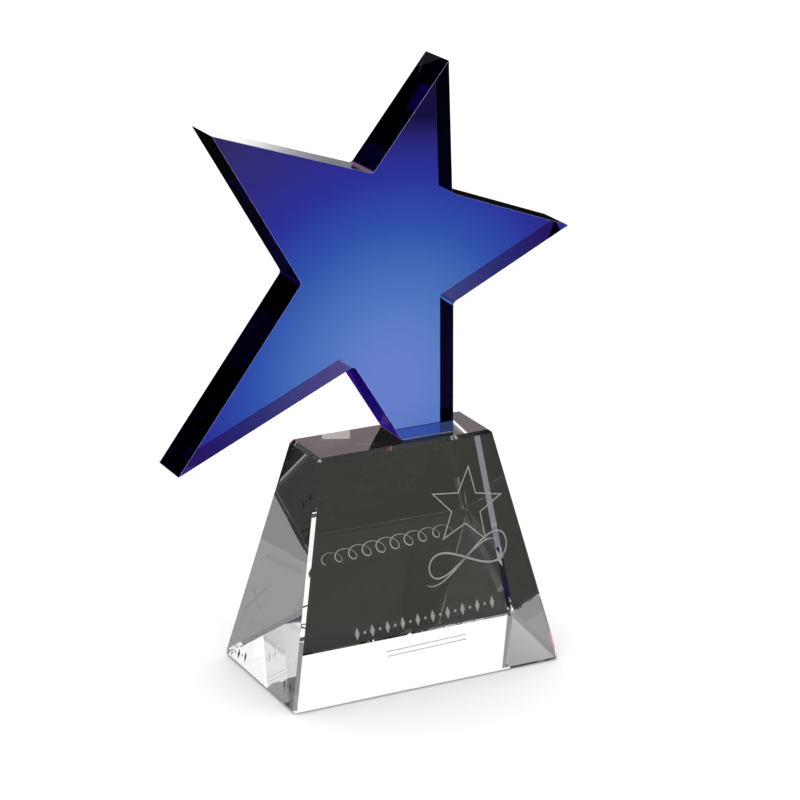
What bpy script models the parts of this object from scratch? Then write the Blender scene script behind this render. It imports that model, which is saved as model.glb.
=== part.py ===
"""Star trophy: a tilted five-point star of blue optical crystal, bonded on a clear crystal base.

Blender 4.5, metres, +Z up. The front faces -Y. The origin is the centre of the base's underside,
on the surface that the trophy stands on. The object is three solids: the base block, the film of
clear adhesive on its top face, and the star, whose right leg is cut off flat and stands on the film.
"""

import math

import bmesh
import bpy
from mathutils import Matrix, Vector
from mathutils.geometry import intersect_line_line_2d

# Base block: a truncated rectangular pyramid with narrow polished chamfers on every edge.
BASE_WIDTH = 0.112
BASE_DEPTH = 0.063
BASE_HEIGHT = 0.090
TOP_WIDTH = 0.072
TOP_DEPTH = 0.0255
BASE_CHAMFER = 0.0012

# Adhesive film, and the clearance that it keeps to the crystal above and below it.
FILM_THICKNESS = 0.0001
FILM_CLEARANCE = 0.0001

# Star plate: its tips as (x, height above the cut foot). The leg's tip is the point that the leg
# would run down to if it weren't cut off at the foot.
STAR_THICKNESS = 0.018
STAR_SETBACK = 0.001
STAR_ARRIS = 0.00035
TOP_TIP = Vector((0.0192, 0.1410))
LEFT_TIP = Vector((-0.0736, 0.1235))
LOW_LEFT_TIP = Vector((-0.0893, 0.0))
LEG_TIP = Vector((0.0220, -0.0347))
RIGHT_TIP = Vector((0.0699, 0.0735))
# The inner corners lie this far outside the crossings of the five lines between the tips.
INNER_CORNER_FULLNESS = 0.0012
INNER_CORNER_RADIUS = 0.0018
INNER_CORNER_STEPS = 8

FOOT_HEIGHT = BASE_HEIGHT + 2 * FILM_CLEARANCE + FILM_THICKNESS
WELD_DISTANCE = 0.00001
BEVEL_LIMIT = math.radians(30)


def clear_scene():
    for thing in list(bpy.data.objects):
        bpy.data.objects.remove(thing, do_unlink=True)


def make_collection(name):
    collection = bpy.data.collections.new(name)
    bpy.context.scene.collection.children.link(collection)
    return collection


def make_material(name, color, roughness, transmission, ior):
    material = bpy.data.materials.new(name)
    material.use_nodes = True
    shader = material.node_tree.nodes["Principled BSDF"]
    shader.inputs["Base Color"].default_value = (*color, 1.0)
    shader.inputs["Metallic"].default_value = 0.0
    shader.inputs["Roughness"].default_value = roughness
    shader.inputs["Transmission Weight"].default_value = transmission
    shader.inputs["IOR"].default_value = ior
    return material


def add_block(name, collection, bottom_size, top_size, height, location):
    """A block whose top and bottom are centred rectangles, standing on its location."""
    mesh = bpy.data.meshes.new(name)
    shape = bmesh.new()
    bmesh.ops.create_cube(shape, size=1.0)
    for vertex in shape.verts:
        size = top_size if vertex.co.z > 0 else bottom_size
        vertex.co = Vector((vertex.co.x * size[0], vertex.co.y * size[1], (vertex.co.z + 0.5) * height))
    shape.to_mesh(mesh)
    shape.free()
    block = bpy.data.objects.new(name, mesh)
    block.location = location
    collection.objects.link(block)
    return block


def add_chamfer(thing, width):
    chamfer = thing.modifiers.new("chamfer", "BEVEL")
    chamfer.width = width
    chamfer.segments = 1
    chamfer.limit_method = "ANGLE"
    chamfer.angle_limit = BEVEL_LIMIT


def crossing(line_a, line_b):
    return intersect_line_line_2d(line_a[0], line_a[1], line_b[0], line_b[1])


def inner_corners():
    """The five inner corners, each between two neighbouring tips, clockwise from the top tip."""
    top_to_leg = (TOP_TIP, LEG_TIP)
    top_to_low_left = (TOP_TIP, LOW_LEFT_TIP)
    left_to_right = (LEFT_TIP, RIGHT_TIP)
    left_to_leg = (LEFT_TIP, LEG_TIP)
    low_left_to_right = (LOW_LEFT_TIP, RIGHT_TIP)
    corners = [
        crossing(top_to_leg, left_to_right),
        crossing(top_to_leg, low_left_to_right),
        crossing(left_to_leg, low_left_to_right),
        crossing(left_to_leg, top_to_low_left),
        crossing(top_to_low_left, left_to_right),
    ]
    middle = sum(corners, Vector((0.0, 0.0))) / len(corners)
    return [corner + (corner - middle).normalized() * INNER_CORNER_FULLNESS for corner in corners]


def at_foot(corner):
    """Where the leg's side, from this inner corner to the leg's tip, meets the cut foot."""
    share = corner.y / (corner.y - LEG_TIP.y)
    return corner.lerp(LEG_TIP, share)


def rounded_corner(before, corner, after):
    """The arc of INNER_CORNER_RADIUS that is tangent to both sides of a corner."""
    to_before = (before - corner).normalized()
    to_after = (after - corner).normalized()
    half_angle = to_before.angle(to_after) / 2
    centre = corner + (to_before + to_after).normalized() * INNER_CORNER_RADIUS / math.sin(half_angle)
    start = corner + to_before * INNER_CORNER_RADIUS / math.tan(half_angle) - centre
    end = corner + to_after * INNER_CORNER_RADIUS / math.tan(half_angle) - centre
    sweep = math.atan2(start.x * end.y - start.y * end.x, start.dot(end))
    turns = [sweep * step / INNER_CORNER_STEPS for step in range(INNER_CORNER_STEPS + 1)]
    return [centre + Matrix.Rotation(turn, 2) @ start for turn in turns]


def star_outline():
    """The star's outline as (x, height above the foot), clockwise from the top tip."""
    by_top, by_right, by_leg, by_low_left, by_left = inner_corners()
    foot_right = at_foot(by_right)
    foot_left = at_foot(by_leg)
    return [
        TOP_TIP,
        *rounded_corner(TOP_TIP, by_top, RIGHT_TIP),
        RIGHT_TIP,
        *rounded_corner(RIGHT_TIP, by_right, foot_right),
        foot_right,
        foot_left,
        *rounded_corner(foot_left, by_leg, LOW_LEFT_TIP),
        LOW_LEFT_TIP,
        *rounded_corner(LOW_LEFT_TIP, by_low_left, LEFT_TIP),
        LEFT_TIP,
        *rounded_corner(LEFT_TIP, by_left, TOP_TIP),
    ]


def make_base(collection):
    base = add_block(
        "base_block",
        collection,
        bottom_size=(BASE_WIDTH, BASE_DEPTH),
        top_size=(TOP_WIDTH, TOP_DEPTH),
        height=BASE_HEIGHT,
        location=(0.0, 0.0, 0.0),
    )
    add_chamfer(base, BASE_CHAMFER)
    base.data.materials.append(make_material("clear_crystal", (0.95, 0.96, 0.96), 0.02, 1.0, 1.52))


def make_film(collection):
    """The film covers the foot's flat area, inside its arrises."""
    _, by_right, by_leg, _, _ = inner_corners()
    right = at_foot(by_right).x - STAR_ARRIS
    left = at_foot(by_leg).x + STAR_ARRIS
    size = (right - left, STAR_THICKNESS - 2 * STAR_ARRIS)
    film = add_block(
        "adhesive_film",
        collection,
        bottom_size=size,
        top_size=size,
        height=FILM_THICKNESS,
        location=((left + right) / 2, STAR_SETBACK, BASE_HEIGHT + FILM_CLEARANCE),
    )
    film.data.materials.append(make_material("clear_adhesive", (0.93, 0.94, 0.92), 0.05, 1.0, 1.50))


def make_star(collection):
    """A flat outline, extruded both ways from its own plane, and stood upright."""
    outline = star_outline()
    curve = bpy.data.curves.new("star_plate", "CURVE")
    curve.dimensions = "2D"
    curve.fill_mode = "BOTH"
    curve.extrude = STAR_THICKNESS / 2
    spline = curve.splines.new("POLY")
    spline.points.add(len(outline) - 1)
    for point, place in zip(spline.points, outline):
        point.co = (place.x, place.y, 0.0, 1.0)
    spline.use_cyclic_u = True
    star = bpy.data.objects.new("star_plate", curve)
    star.location = (0.0, STAR_SETBACK, FOOT_HEIGHT)
    star.rotation_euler = (math.pi / 2, 0.0, 0.0)
    collection.objects.link(star)
    weld = star.modifiers.new("weld_caps", "WELD")
    weld.merge_threshold = WELD_DISTANCE
    add_chamfer(star, STAR_ARRIS)
    curve.materials.append(make_material("blue_crystal", (0.03, 0.08, 0.50), 0.02, 1.0, 1.52))


def main():
    clear_scene()
    collection = make_collection("star_trophy")
    make_base(collection)
    make_film(collection)
    make_star(collection)


main()
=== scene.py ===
"""Looks of the star trophy: blue and clear optical crystal in a pale studio.

One frame with the CAD: metres, +Z up, origin under the middle of the base, front towards -Y.
Azimuths are in degrees, as seen from the object: 0 is +Y, behind it, and 90 is +X, to its right.
"""

import math

import bmesh
import bpy
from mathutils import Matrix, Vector


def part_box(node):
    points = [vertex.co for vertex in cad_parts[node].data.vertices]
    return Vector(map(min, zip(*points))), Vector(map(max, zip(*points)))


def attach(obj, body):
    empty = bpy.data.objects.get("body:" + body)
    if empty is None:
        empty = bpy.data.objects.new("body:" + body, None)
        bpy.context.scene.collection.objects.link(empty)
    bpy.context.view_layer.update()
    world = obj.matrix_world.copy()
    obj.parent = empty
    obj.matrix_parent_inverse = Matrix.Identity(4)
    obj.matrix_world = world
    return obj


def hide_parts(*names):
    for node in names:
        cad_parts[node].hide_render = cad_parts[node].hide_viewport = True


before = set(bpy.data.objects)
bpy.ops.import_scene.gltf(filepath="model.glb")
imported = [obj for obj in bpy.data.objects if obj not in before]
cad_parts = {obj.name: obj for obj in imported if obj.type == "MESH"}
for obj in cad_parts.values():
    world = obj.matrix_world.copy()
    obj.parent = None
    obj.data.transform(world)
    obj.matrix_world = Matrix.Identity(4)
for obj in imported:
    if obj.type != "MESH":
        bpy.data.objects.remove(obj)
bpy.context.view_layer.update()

BASE = "base_block"
FILM = "adhesive_film"
STAR = "star_plate"
MM = 0.001

base_low, base_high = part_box(BASE)
film_low, film_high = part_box(FILM)
star_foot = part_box(STAR)[0].z


def link(thing):
    bpy.context.scene.collection.objects.link(thing)
    return thing


def heading(azimuth, elevation):
    """The unit vector at this azimuth and elevation, in degrees."""
    azimuth, elevation = math.radians(azimuth), math.radians(elevation)
    return Vector((
        math.sin(azimuth) * math.cos(elevation),
        math.cos(azimuth) * math.cos(elevation),
        math.sin(elevation),
    ))


# ---------------------------------------------------------------- camera
# A long lens, from the front left and a little above. Its azimuth counts from the front, -Y, and
# is negative to the left.

CAMERA_AZIMUTH = -27.0
CAMERA_ELEVATION = 18.9
CAMERA_DISTANCE = 1.125
CAMERA_TARGET = Vector((0.0036, 0.0, 0.1029))
CAMERA_LENS_MM = 136.3
CAMERA_SENSOR_MM = 36.0
CAMERA_REACH = 100.0

towards_camera = heading(180.0 - CAMERA_AZIMUTH, CAMERA_ELEVATION)
camera_place = CAMERA_TARGET + towards_camera * CAMERA_DISTANCE


def make_camera():
    data = bpy.data.cameras.new("camera")
    data.lens = CAMERA_LENS_MM
    data.sensor_width = CAMERA_SENSOR_MM
    data.clip_end = CAMERA_REACH
    camera = link(bpy.data.objects.new("camera", data))
    camera.location = camera_place
    camera.rotation_euler = towards_camera.to_track_quat("Z", "Y").to_euler()
    bpy.context.scene.camera = camera


# ---------------------------------------------------------------- node helpers

def new_material(name):
    material = bpy.data.materials.new(name)
    material.use_nodes = True
    material.node_tree.nodes.clear()
    return material, material.node_tree.nodes, material.node_tree.links


def principled(name, settings):
    """A material with one Principled shader, wired to the output."""
    material, nodes, links = new_material(name)
    out = nodes.new("ShaderNodeOutputMaterial")
    shader = nodes.new("ShaderNodeBsdfPrincipled")
    for socket, value in settings.items():
        shader.inputs[socket].default_value = value
    links.new(shader.outputs["BSDF"], out.inputs["Surface"])
    return material, nodes, links


def assign(thing, material):
    thing.data.materials.clear()
    thing.data.materials.append(material)


def node(nodes, kind, **settings):
    made = nodes.new(kind)
    for key, value in settings.items():
        setattr(made, key, value)
    return made


def find(nodes, kind):
    return next(made for made in nodes if made.type == kind)


def ramp_of(nodes, links, source, stops, interpolation="LINEAR"):
    """A colour ramp over source, with a colour or a grey at each stop."""
    ramp = nodes.new("ShaderNodeValToRGB")
    ramp.color_ramp.interpolation = interpolation
    elements = ramp.color_ramp.elements
    while len(elements) < len(stops):
        elements.new(0.5)
    for element, (position, value) in zip(elements, stops):
        element.position = position
        element.color = (*value, 1) if isinstance(value, tuple) else (value, value, value, 1)
    links.new(source, ramp.inputs["Fac"])
    return ramp.outputs["Color"]


def noise(nodes, links, place, scale, detail):
    """Noise of this many features a metre."""
    made = nodes.new("ShaderNodeTexNoise")
    made.inputs["Scale"].default_value = scale
    made.inputs["Detail"].default_value = detail
    links.new(place.outputs["Object"], made.inputs["Vector"])
    return made.outputs["Fac"]


def add_bump(nodes, links, height, strength, distance):
    """Turns height into a relief of this depth on the material's shader."""
    bump = nodes.new("ShaderNodeBump")
    bump.inputs["Strength"].default_value = strength
    bump.inputs["Distance"].default_value = distance
    links.new(height, bump.inputs["Height"])
    links.new(bump.outputs["Normal"], find(nodes, "BSDF_PRINCIPLED").inputs["Normal"])


def map_range(nodes, links, source, low, high, to_low, to_high):
    made = nodes.new("ShaderNodeMapRange")
    limits = (("From Min", low), ("From Max", high), ("To Min", to_low), ("To Max", to_high))
    for name, value in limits:
        made.inputs[name].default_value = value
    links.new(source, made.inputs["Value"])
    return made.outputs["Result"]


# ---------------------------------------------------------------- crystal

CRYSTAL_IOR = 1.52
POLISH_HEIGHT = 0.004 * MM
POLISH_WAVES = 55.0

# The clear block has a faint grey-green cast, and the star is blue through its whole thickness.
CLEAR_TINT = (0.90, 0.95, 0.92)
CLEAR_DENSITY = 0.5
BLUE_TINT = (0.60, 0.16, 0.72)
BLUE_DENSITY = 100.0

# Painted light and shade in the star's blue: palest at a painted glow over the foot, turning violet towards
# the tips.
# Each stop is a share of the reach, measured from the glow's centre.
PAINTED_GLOW_CENTRE = Vector((0.0, 0.001, 0.1119))
PAINTED_GLOW_SQUEEZE = (1.03, 1.0, 1.0)
PAINTED_GLOW_REACH = 0.150
PAINTED_GLOW_STOPS = (
    (0.00, (0.300, 1.000, 0.940)),
    (0.20, (0.178, 0.855, 0.817)),
    (0.35, (0.081, 0.494, 0.665)),
    (0.50, (0.049, 0.189, 0.512)),
    (0.62, (0.055, 0.116, 0.358)),
    (0.75, (0.055, 0.116, 0.237)),
    (0.90, (0.040, 0.080, 0.130)),
)

# A cut wall's normal has little Y in it, a face's is nearly all Y, and an arris lies between.
# Painted shade: the cut walls take a dark violet tint from the way they face.
WALL_PAINTED_SHADE = (0.30, 0.14, 1.00)
WALL_FACING = 0.3
FACE_FACING = 0.9
# Painted highlight: the arrises are paler and less clear.
ARRIS_PAINTED_HIGHLIGHT = (0.55, 0.60, 0.80)
ARRIS_HIGHLIGHT_CLEARNESS = 0.35
ARRIS_FACING = 0.625
ARRIS_SPREAD = 0.325


def crystal(name, absorption, density):
    """Polished optical glass, with the slow waves that the lap leaves."""
    material, nodes, links = principled(name, {
        "Base Color": (1, 1, 1, 1),
        "IOR": CRYSTAL_IOR,
        "Transmission Weight": 1.0,
        "Roughness": 0.0,
    })
    place = nodes.new("ShaderNodeTexCoord")
    add_bump(nodes, links, noise(nodes, links, place, POLISH_WAVES, 1.0), 1.0, POLISH_HEIGHT)
    volume = nodes.new("ShaderNodeVolumeAbsorption")
    volume.inputs["Color"].default_value = (*absorption, 1)
    volume.inputs["Density"].default_value = density
    links.new(volume.outputs["Volume"], find(nodes, "OUTPUT_MATERIAL").inputs["Volume"])
    return material


def mix_to(nodes, links, share, color, tint):
    """color where share is 0, and tint where it is 1."""
    mix = node(nodes, "ShaderNodeMix", data_type="RGBA")
    links.new(share, mix.inputs["Factor"])
    links.new(color, mix.inputs["A"])
    mix.inputs["B"].default_value = (*tint, 1)
    return mix.outputs["Result"]


def paint_light_on_star(material):
    """Paints light and shade into the blue: a painted glow over the foot that darkens towards the tips,
    painted shade on the cut walls and a painted highlight on the arrises.
    """
    nodes, links = material.node_tree.nodes, material.node_tree.links
    shader = find(nodes, "BSDF_PRINCIPLED")
    place = find(nodes, "TEX_COORD")

    # A painted glow over the foot, darkening to violet towards the tips.
    squeeze = nodes.new("ShaderNodeMapping")
    squeeze.inputs["Scale"].default_value = PAINTED_GLOW_SQUEEZE
    links.new(place.outputs["Object"], squeeze.inputs["Vector"])
    offset = node(nodes, "ShaderNodeVectorMath", operation="DISTANCE")
    offset.inputs[1].default_value = PAINTED_GLOW_CENTRE
    links.new(squeeze.outputs["Vector"], offset.inputs[0])
    share = map_range(nodes, links, offset.outputs["Value"], 0.0, PAINTED_GLOW_REACH, 0.0, 1.0)
    glow = ramp_of(nodes, links, share, PAINTED_GLOW_STOPS, "CARDINAL")

    # Painted shade on the cut walls, chosen by the way each one faces.
    facing = nodes.new("ShaderNodeSeparateXYZ")
    links.new(place.outputs["Normal"], facing.inputs[0])
    size = node(nodes, "ShaderNodeMath", operation="ABSOLUTE")
    links.new(facing.outputs["Y"], size.inputs[0])
    painted_wall_share = map_range(nodes, links, size.outputs[0], WALL_FACING, FACE_FACING, 1.0, 0.0)
    wall_shaded = mix_to(nodes, links, painted_wall_share, glow, WALL_PAINTED_SHADE)

    # A painted highlight on the arrises: they are paler and let less light through.
    arris = node(nodes, "ShaderNodeMath", operation="COMPARE")
    arris.inputs[1].default_value = ARRIS_FACING
    arris.inputs[2].default_value = ARRIS_SPREAD
    links.new(size.outputs[0], arris.inputs[0])
    highlighted = mix_to(nodes, links, arris.outputs[0], wall_shaded, ARRIS_PAINTED_HIGHLIGHT)
    links.new(highlighted, shader.inputs["Base Color"])
    highlight_clearness = map_range(nodes, links, arris.outputs[0], 0.0, 1.0, 1.0, ARRIS_HIGHLIGHT_CLEARNESS)
    links.new(highlight_clearness, shader.inputs["Transmission Weight"])


# ---------------------------------------------------------------- adhesive

# The film wets the base's top, and a thin gap under the star makes its foot mirror the star's back.
BOND_WETTING = 0.03 * MM
BOND_GAP = 0.02 * MM
CLOUDS = 240.0
CLOUD_STOPS = ((0.3, (0.82, 0.86, 0.90)), (0.7, (0.95, 0.96, 0.97)))


def milky_film(name):
    """The cured adhesive: a thin translucent white layer with faint clouding."""
    material, nodes, links = principled(name, {"Roughness": 0.4, "Transmission Weight": 0.25})
    place = nodes.new("ShaderNodeTexCoord")
    clouds = ramp_of(nodes, links, noise(nodes, links, place, CLOUDS, 3.0), CLOUD_STOPS)
    links.new(clouds, find(nodes, "BSDF_PRINCIPLED").inputs["Base Color"])
    return material


def make_film():
    """The adhesive as it is once cured: the CAD film, stretched down to the base and up to the star."""
    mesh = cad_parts[FILM].data.copy()
    mesh.name = "adhesive_bond"
    middle = (film_low.z + film_high.z) / 2
    for vertex in mesh.vertices:
        above = vertex.co.z > middle
        vertex.co.z = star_foot - BOND_GAP if above else base_high.z - BOND_WETTING
    bond = link(bpy.data.objects.new("adhesive_bond", mesh))
    assign(bond, milky_film("clear_adhesive"))
    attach(bond, "root")
    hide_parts(FILM)


# ---------------------------------------------------------------- engraving
# Lengths are along and up the base's front face, from the middle of its lower edge.

ENGRAVING_PROUD = 0.02 * MM
ENGRAVING_DEPTH = 0.05 * MM
MITRE_LIMIT = 0.35
LINE_WIDTH = 0.45 * MM
FRONT_FACING = 0.8
PEN_TAPER = 0.7

GRAIN = 5000.0
GRAIN_STOPS = ((0.3, (0.36, 0.36, 0.35)), (0.7, (0.56, 0.56, 0.545)))
GRAIN_HEIGHT = 0.02 * MM

OUTLINE_CENTRE = (22.0 * MM, 65.0 * MM)
OUTLINE_REACH = 15.0 * MM
OUTLINE_WAIST = 0.42
OUTLINE_TURN = math.radians(-9)

RUN_LOOPS = 9
RUN_STEPS = 18
RUN_START = -38.0 * MM
RUN_LENGTH = 52.0 * MM
RUN_UP = 55.0 * MM
RUN_RISE = 3.0 * MM
RUN_HEIGHT = 2.6 * MM
RUN_LOW_SHARE = 0.75  # the height of the first and last loops, as a share of the tallest
RUN_SWING = 1.17
RUN_SLANT = 0.35
RUN_WIDTHS = (0.2 * MM, 0.35 * MM)
RUN_PRESSURE = 0.16 * MM
RUN_PRESSURE_TURN = 0.6

KNOT_STEPS = 120
KNOT_CENTRE = (20.0 * MM, 46.0 * MM)
KNOT_START = -0.35 * math.pi
KNOT_SWEEP = 2.75 * math.pi
KNOT_REACH = 19.0 * MM
KNOT_SHRINK = 5.0 * MM
KNOT_HEIGHT = 6.5 * MM
KNOT_FLATTEN = 0.45
KNOT_TILT = 0.16
KNOT_WIDTHS = (0.15 * MM, 0.5 * MM)
KNOT_PRESSURE = 0.28 * MM

BORDER_COUNT = 19
BORDER_START = (-27.5 * MM, 25.2 * MM)
BORDER_STEP = (3.15 * MM, 0.11 * MM)
BORDER_POINT = 0.1 * MM
LOZENGE = (2.3 * MM, 1.9 * MM)  # half its height, and its width
DOT = (0.65 * MM, 1.2 * MM)

RULE_UP = (14.6 * MM, 16.4 * MM)
RULE_ENDS = (-16.0 * MM, 17.0 * MM)
RULE_RISE = 0.6 * MM
RULE_WIDTH = 0.28 * MM


def frosted(name):
    """Sandblasted glass: a pale grey grain of about a fifth of a millimetre."""
    material, nodes, links = principled(name, {"Roughness": 0.6, "Transmission Weight": 0.45})
    place = nodes.new("ShaderNodeTexCoord")
    grain = noise(nodes, links, place, GRAIN, 2.0)
    color = ramp_of(nodes, links, grain, GRAIN_STOPS)
    links.new(color, find(nodes, "BSDF_PRINCIPLED").inputs["Base Color"])
    add_bump(nodes, links, grain, 0.5, GRAIN_HEIGHT)
    return material


def front_face():
    """(origin, along, up, out) of the base's tilted front, with the middle of its lower edge as origin."""
    fronts = (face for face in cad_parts[BASE].data.polygons if face.normal.y < -FRONT_FACING)
    face = max(fronts, key=lambda front: front.area)
    out = face.normal.copy()
    along = Vector((1, 0, 0))
    up = out.cross(along)
    origin = Vector((0, 0, base_low.z))
    origin.y = face.center.y - up.y * (face.center.z - origin.z) / up.z
    return origin, along, up, out


def ribbon(shape, face, points, widths, closed=False):
    """Adds a flat stroke through points, with a width at each, sunk in the face and just proud of it."""
    origin, along, up, out = face
    sunk, proud = -ENGRAVING_DEPTH, ENGRAVING_PROUD
    count = len(points)
    rings = []
    for index, (point, width) in enumerate(zip(points, widths)):
        before = points[index - 1] if index or closed else point
        after = points[(index + 1) % count] if index < count - 1 or closed else point
        ahead = Vector(after) - Vector(point)
        behind = Vector(point) - Vector(before)
        ahead = ahead.normalized() if ahead.length else behind.normalized()
        behind = behind.normalized() if behind.length else ahead
        tangent = (ahead + behind).normalized()
        side = Vector((-tangent.y, tangent.x))
        mitre = max(abs(side.dot(Vector((-ahead.y, ahead.x)))), MITRE_LIMIT)
        ring = []
        for sign, level in ((1, proud), (-1, proud), (-1, sunk), (1, sunk)):
            flat = Vector(point) + side * (sign * width / 2 / mitre)
            ring.append(shape.verts.new(origin + along * flat.x + up * flat.y + out * level))
        rings.append(ring)
    for index in range(count if closed else count - 1):
        first, second = rings[index], rings[(index + 1) % count]
        for corner in range(4):
            following = (corner + 1) % 4
            shape.faces.new((first[corner], first[following], second[following], second[corner]))
    if not closed:
        shape.faces.new(reversed(rings[0]))
        shape.faces.new(rings[-1])


def swell(share, thin, thick):
    """A pen stroke's width, thin at its ends."""
    return thin + (thick - thin) * math.sin(math.pi * share) ** PEN_TAPER


def star_outline():
    """The ten corners of a plain five-pointed star."""
    corners = []
    for index in range(10):
        radius = OUTLINE_REACH if index % 2 == 0 else OUTLINE_REACH * OUTLINE_WAIST
        angle = OUTLINE_TURN + math.pi / 2 + index * math.pi / 5
        corners.append((
            OUTLINE_CENTRE[0] + radius * math.cos(angle),
            OUTLINE_CENTRE[1] + radius * math.sin(angle),
        ))
    return corners


def running_loop():
    """(points, widths) of a row of loops, like a pen warming up."""
    points, widths = [], []
    count = RUN_LOOPS * RUN_STEPS
    for index in range(count + 1):
        share = index / count
        angle = 2 * math.pi * RUN_LOOPS * share
        height = RUN_HEIGHT * (RUN_LOW_SHARE + (1 - RUN_LOW_SHARE) * math.sin(math.pi * share))
        x = RUN_START + RUN_LENGTH * share
        x += height * (RUN_SLANT * math.cos(angle) - RUN_SWING * math.sin(angle))
        y = RUN_UP + RUN_RISE * share - height * math.cos(angle)
        points.append((x, y))
        pressure = RUN_PRESSURE * math.sin(angle + RUN_PRESSURE_TURN)
        widths.append(swell(share, *RUN_WIDTHS) + pressure)
    return points, widths


def double_loop():
    """(points, widths) of a large double loop with a long tail."""
    points, widths = [], []
    for index in range(KNOT_STEPS + 1):
        share = index / KNOT_STEPS
        angle = KNOT_START + KNOT_SWEEP * share
        reach = KNOT_REACH - KNOT_SHRINK * share
        x = KNOT_CENTRE[0] + reach * math.sin(angle)
        y = KNOT_CENTRE[1] + KNOT_HEIGHT * math.sin(2 * angle) * (1 - KNOT_FLATTEN * share)
        y += KNOT_TILT * reach * math.sin(angle)
        points.append((x, y))
        widths.append(swell(share, *KNOT_WIDTHS) + KNOT_PRESSURE * abs(math.cos(angle)))
    return points, widths


def make_engraving():
    """The ornament on the base's front: an outline star, pen loops, a border and a double rule."""
    face = front_face()
    shape = bmesh.new()
    star = star_outline()
    ribbon(shape, face, star, [LINE_WIDTH] * len(star), closed=True)
    ribbon(shape, face, *running_loop())
    ribbon(shape, face, *double_loop())

    for index in range(BORDER_COUNT):
        x, y = (start + step * index for start, step in zip(BORDER_START, BORDER_STEP))
        half, width = LOZENGE if index % 2 == 0 else DOT
        line = [(x, y - half), (x, y), (x, y + half)]
        ribbon(shape, face, line, [BORDER_POINT, width, BORDER_POINT])

    for up in RULE_UP:
        line = [(RULE_ENDS[0], up), (RULE_ENDS[1], up + RULE_RISE)]
        ribbon(shape, face, line, [RULE_WIDTH] * 2)

    bmesh.ops.recalc_face_normals(shape, faces=shape.faces)
    mesh = bpy.data.meshes.new("front_engraving")
    shape.to_mesh(mesh)
    shape.free()
    engraving = link(bpy.data.objects.new("front_engraving", mesh))
    assign(engraving, frosted("frosted_crystal"))
    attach(engraving, "root")


# ---------------------------------------------------------------- studio
# The camera and the floor see an even pale room. What the crystal mirrors or bends is a dim room
# with these cards in it, each seen only by the rays that it is meant for.

STUDIO_CENTRE = (0.0, 0.0, 0.1)
ROOM_LIGHT = 1.5
GLOSS_SHARE = 0.35
FLOOR_SIZE = 60.0
FLOOR_DROP = 0.3 * MM
FLOOR_ALBEDO = 0.86
FLOOR_GLOW = FLOOR_ALBEDO * ROOM_LIGHT

# The dim room: a height on the unit sphere, and the brightness there. It is bright just above the
# horizon, and nearly black below it and overhead.
WORLD_STOPS = (
    (-1.00, 0.01), (-0.01, 0.02), (0.00, 1.20), (0.07, 1.20), (0.17, 0.30),
    (0.72, 0.30), (0.75, 0.06), (0.835, 0.06), (0.845, 0.01), (1.00, 0.01),
)

MIRRORED = {"glossy": True}
BENT = {"transmission": True}
BOTH = {"glossy": True, "transmission": True}
BLACK = (0, 0, 0)

# Cards that face back to a point: name, (width, height), (azimuth, elevation), distance,
# the point, (colour, brightness) and the rays that see it.
AIMED_CARDS = (
    # The main light, and a grey scrim over it for the base's top.
    ("softbox", (0.75, 0.75), (29, 17), 1.2, STUDIO_CENTRE, ((1, 1, 1), 1.12), BOTH),
    ("grey_scrim", (0.44, 0.40), (27.5, 19), 1.0, STUDIO_CENTRE, ((0.86, 0.71, 0.735), 1), MIRRORED),
    # The low walls of the star's arms take their violet from this one.
    ("violet_card", (0.30, 0.19), (2.5, 31.5), 1.0, (-0.01, 0, 0.13), ((1.00, 0.39, 0.51), 1), BOTH),
    # A dim blue card, which the underside of the star's foot mirrors.
    ("foot_card", (0.052, 0.028), (27.2, 19.6), 0.28, (0.012, 0.010, 0.092), ((0.40, 0.49, 0.81), 1), BENT),
    # In front, for the left wall of the star's foot.
    ("leg_card", (0.12, 0.10), (149.5, 10.4), 1.0, (0.022, 0.006, 0.103), ((0.22, 0.45, 0.60), 1), BENT),
    # Keeps the room's light out of the low right of the base.
    ("side_flag", (0.22, 0.20), (-102, 32.5), 0.6, (0.03, -0.025, 0.03), (BLACK, 1), BENT),
)

# Level cards: name, (width, depth), place, turn about +Z, (colour, brightness) and the rays.
LEVEL_CARDS = (
    # The dark table that shows through the base's front, and a darker card under the base: painted shade
    # where the base sits on the floor.
    ("dark_table", (0.40, 0.40), (0, 0, -0.1 * MM), 0, ((0.043, 0.044, 0.038), 1), BENT),
    ("painted_under_shade", (0.108, 0.060), (0, 0, -0.05 * MM), 0, ((0.012, 0.012, 0.012), 1), BENT),
    # Keeps the pale floor in front out of the top of the star's right arm.
    ("front_strip", (0.09, 0.07), (-0.066, -0.293, 0), -20, (BLACK, 1), BENT),
    # Over the left face: the far right edge of the base shows it as a pale strip.
    ("kicker_card", (0.032, 0.028), (-0.062, 0.004, 0.086), 0, ((0.23, 0.225, 0.27), 1), BENT),
)

# Upright cards that face along Y: name, (width, height), centre, (colour, brightness) and the rays.
UPRIGHT_CARDS = (
    # Darkens the star's left walls.
    ("dark_flag", (0.18, 0.28), (-0.18, 0.30, 0.31), (BLACK, 1), MIRRORED),
    # The dim wall behind the camera.
    ("front_flag", (1.9, 0.57), (0.35, -1.2, 0.265), ((0.10, 0.10, 0.085), 1), BOTH),
)

# Dark strips on the floor behind, for the star's right walls: azimuth, where each starts, and width.
DARK_STRIPS = ((-26.8, (0.02, 0.01), 0.06), (-20.0, (0.03, 0.0), 0.17))
STRIP_LENGTH = 0.75
STRIP_MIDDLE = 0.55

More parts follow.
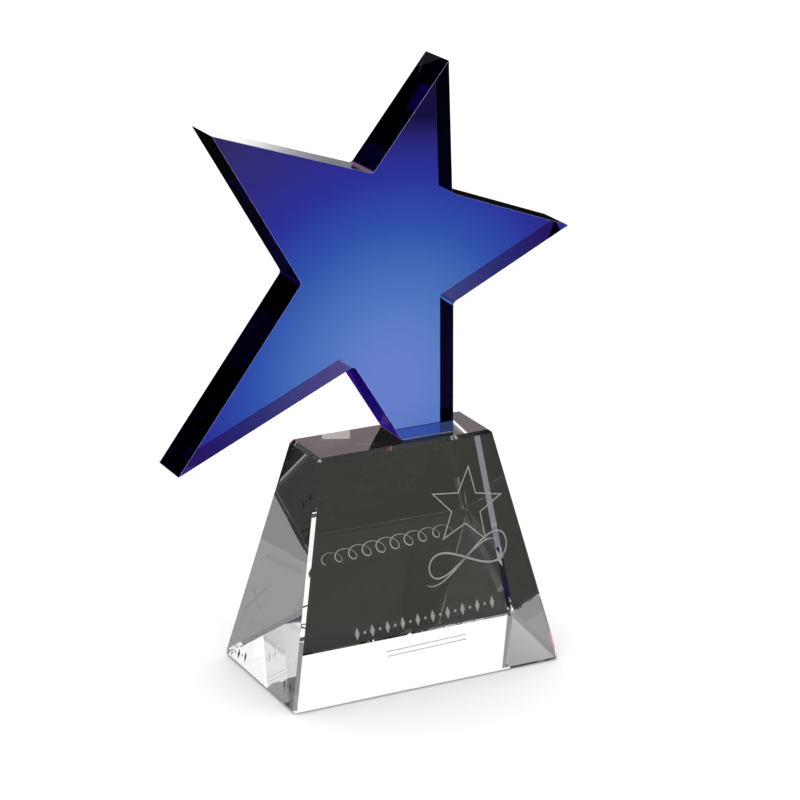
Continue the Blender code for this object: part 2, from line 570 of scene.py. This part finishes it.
# The softbox's soft edge, mirrored in the top of the star's left arm. The stops run along its width
# from its right side, as shares of its brightness.
EDGE_SIZE = (0.20, 0.10)
EDGE_HEADING = (28.2, -2.6)
EDGE_DISTANCE = 1.1
EDGE_POINT = (-0.042, 0, 0.203)
EDGE_BRIGHTNESS = 1.75
EDGE_STOPS = (
    (0.33, 0.21), (0.39, 0.26), (0.445, 0.32), (0.50, 0.43), (0.55, 0.61), (0.60, 0.83), (0.66, 1.00),
)

# Painted shade on a card that stands for the floor behind, where the star's top tip shows it. The stops run
# away from the star.
TIP_SIZE = (0.40, 0.10)
TIP_PLACE = (0.4555, 0.8445, 0)
TIP_TURN = 62.3
TIP_STOPS = ((0.0, 0.95), (0.09, 0.78), (0.18, 0.62), (0.25, 0.38), (0.32, 0.20), (0.45, 0.24))

# A small window-like light, mirrored as a pale patch in the base's top.
WINDOW_SIZE = (0.016, 0.0056)
WINDOW_DISTANCE = 0.6
WINDOW_PATCH = (-0.0183, 0.0096)
WINDOW_COLOR = (1.0, 0.93, 0.88)
WINDOW_BRIGHTNESS = 2.4


def plane(name, size, location, rotation):
    mesh = bpy.data.meshes.new(name)
    shape = bmesh.new()
    bmesh.ops.create_grid(shape, x_segments=1, y_segments=1, size=0.5)
    bmesh.ops.scale(shape, vec=(*size, 1), verts=shape.verts)
    shape.to_mesh(mesh)
    shape.free()
    card = link(bpy.data.objects.new(name, mesh))
    card.location = location
    card.rotation_euler = rotation
    return card


def emission(name, color, strength):
    material, nodes, links = new_material(name)
    out = nodes.new("ShaderNodeOutputMaterial")
    glow = nodes.new("ShaderNodeEmission")
    glow.inputs["Color"].default_value = (*color, 1)
    glow.inputs["Strength"].default_value = strength
    links.new(glow.outputs[0], out.inputs["Surface"])
    return material


def falloff(name, stops, strength):
    """A glow that changes along a card's width."""
    material = emission(name, (1, 1, 1), strength)
    nodes, links = material.node_tree.nodes, material.node_tree.links
    place = nodes.new("ShaderNodeTexCoord")
    split = nodes.new("ShaderNodeSeparateXYZ")
    links.new(place.outputs["Generated"], split.inputs[0])
    color = ramp_of(nodes, links, split.outputs["X"], stops)
    links.new(color, find(nodes, "EMISSION").inputs["Color"])
    return material


def make_card(name, size, place, material, glossy=False, transmission=False):
    """A card at (location, rotation) that only mirrored rays, bent rays or both can see."""
    card = plane(name, size, *place)
    assign(card, material)
    card.visible_camera = False
    card.visible_diffuse = False
    card.visible_shadow = False
    card.visible_glossy = glossy
    card.visible_transmission = transmission


def aimed(direction, distance, around):
    """A place this far from around, and the rotation of a card that faces back."""
    return Vector(around) + direction * distance, direction.to_track_quat("Z", "Y").to_euler()


def level(location, turn):
    return location, (0, 0, math.radians(turn))


def make_cards():
    for name, size, direction, distance, point, light, rays in AIMED_CARDS:
        place = aimed(heading(*direction), distance, point)
        make_card(name, size, place, emission(name, *light), **rays)
    for name, size, location, turn, light, rays in LEVEL_CARDS:
        make_card(name, size, level(location, turn), emission(name, *light), **rays)
    for name, size, location, light, rays in UPRIGHT_CARDS:
        place = location, (math.pi / 2, 0, 0)
        make_card(name, size, place, emission(name, *light), **rays)

    for azimuth, start, width in DARK_STRIPS:
        middle = Vector((*start, 0)) + heading(azimuth, 0) * STRIP_MIDDLE
        black = emission("dark_strip", BLACK, 1)
        make_card("dark_strip", (width, STRIP_LENGTH), level(middle, -azimuth), black, **BENT)

    place = aimed(heading(*EDGE_HEADING), EDGE_DISTANCE, EDGE_POINT)
    make_card("soft_edge", EDGE_SIZE, place, falloff("soft_edge", EDGE_STOPS, EDGE_BRIGHTNESS), **MIRRORED)

    shade = falloff("tip_shade", TIP_STOPS, FLOOR_GLOW)
    make_card("tip_shade", TIP_SIZE, level(TIP_PLACE, TIP_TURN), shade, **BENT)

    # The window stands where the camera sees the patch mirrored in the base's level top.
    patch = Vector((*WINDOW_PATCH, base_high.z))
    towards = (patch - camera_place).normalized()
    towards.z = -towards.z
    window = emission("window", WINDOW_COLOR, WINDOW_BRIGHTNESS)
    make_card("window", WINDOW_SIZE, aimed(towards, WINDOW_DISTANCE, patch), window, **MIRRORED)


def make_floor():
    """A matte pale floor. Mirrored rays miss it and see the dim room below the horizon instead."""
    floor = plane("floor", (FLOOR_SIZE, FLOOR_SIZE), (0, 0, base_low.z - FLOOR_DROP), (0, 0, 0))
    material, _, _ = principled("floor", {
        "Base Color": (FLOOR_ALBEDO, FLOOR_ALBEDO, FLOOR_ALBEDO, 1),
        "Roughness": 1.0,
        "Specular IOR Level": 0.0,
    })
    assign(floor, material)
    floor.visible_glossy = False


def make_world():
    """Even light for the camera and the floor, and the dim room for what the crystal shows."""
    world = bpy.data.worlds.new("studio")
    world.use_nodes = True
    nodes, links = world.node_tree.nodes, world.node_tree.links
    nodes.clear()
    out = nodes.new("ShaderNodeOutputWorld")
    path = nodes.new("ShaderNodeLightPath")

    coords = nodes.new("ShaderNodeTexCoord")
    split = nodes.new("ShaderNodeSeparateXYZ")
    links.new(coords.outputs["Generated"], split.inputs[0])
    height = map_range(nodes, links, split.outputs["Z"], -1, 1, 0, 1)
    stops = [((z + 1) / 2, value) for z, value in WORLD_STOPS]
    dim = nodes.new("ShaderNodeBackground")
    links.new(ramp_of(nodes, links, height, stops), dim.inputs["Color"])
    share = map_range(nodes, links, path.outputs["Is Transmission Ray"], 0, 1, GLOSS_SHARE, 1)
    links.new(share, dim.inputs["Strength"])

    even = nodes.new("ShaderNodeBackground")
    even.inputs["Color"].default_value = (1, 1, 1, 1)
    even.inputs["Strength"].default_value = ROOM_LIGHT

    either = node(nodes, "ShaderNodeMath", operation="MAXIMUM")
    links.new(path.outputs["Is Camera Ray"], either.inputs[0])
    links.new(path.outputs["Is Diffuse Ray"], either.inputs[1])
    mix = nodes.new("ShaderNodeMixShader")
    links.new(either.outputs[0], mix.inputs["Fac"])
    links.new(dim.outputs[0], mix.inputs[1])
    links.new(even.outputs[0], mix.inputs[2])
    links.new(mix.outputs[0], out.inputs["Surface"])
    bpy.context.scene.world = world


def set_up_light_paths():
    """Enough bounces for light to find its way out of the two crystals."""
    scene = bpy.context.scene
    scene.view_settings.view_transform = "Standard"
    scene.cycles.max_bounces = 48
    scene.cycles.transmission_bounces = 48
    scene.cycles.glossy_bounces = 32


def main():
    make_camera()
    make_floor()
    make_world()
    make_cards()
    set_up_light_paths()

    blue = crystal("blue_crystal", BLUE_TINT, BLUE_DENSITY)
    paint_light_on_star(blue)
    assign(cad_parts[STAR], blue)
    assign(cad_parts[BASE], crystal("clear_crystal", CLEAR_TINT, CLEAR_DENSITY))
    make_film()
    make_engraving()


main()
